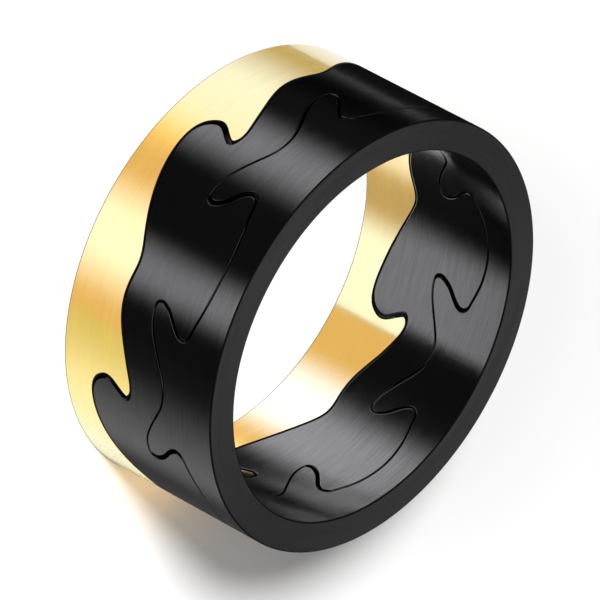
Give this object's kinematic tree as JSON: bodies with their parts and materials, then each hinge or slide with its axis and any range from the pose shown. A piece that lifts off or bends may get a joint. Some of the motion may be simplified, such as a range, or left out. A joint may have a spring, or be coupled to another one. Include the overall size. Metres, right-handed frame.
{
  "type": "fidget ring",
  "caption": "Wide flat finger ring of three interlocked bands, one gold and two black, parted by wavy puzzle seams that run right through the wall.",
  "frame": {"origin": "centre of the gold band's plain face, which the ring lies on", "axes": "+Z along the ring's axis, from the gold band to the front black band; -Y towards the camera; +X to its right once the picture's roll is undone"},
  "size_m": [0.0212, 0.0212, 0.0092],
  "materials": {
    "gold": "gold-plated steel, brushed around the ring",
    "black": "black-plated steel, brushed around the ring"
  },
  "bodies": {
    "root": {"gold_band": "gold", "middle_band": "black", "front_band": "black"}
  },
  "joints": []
}
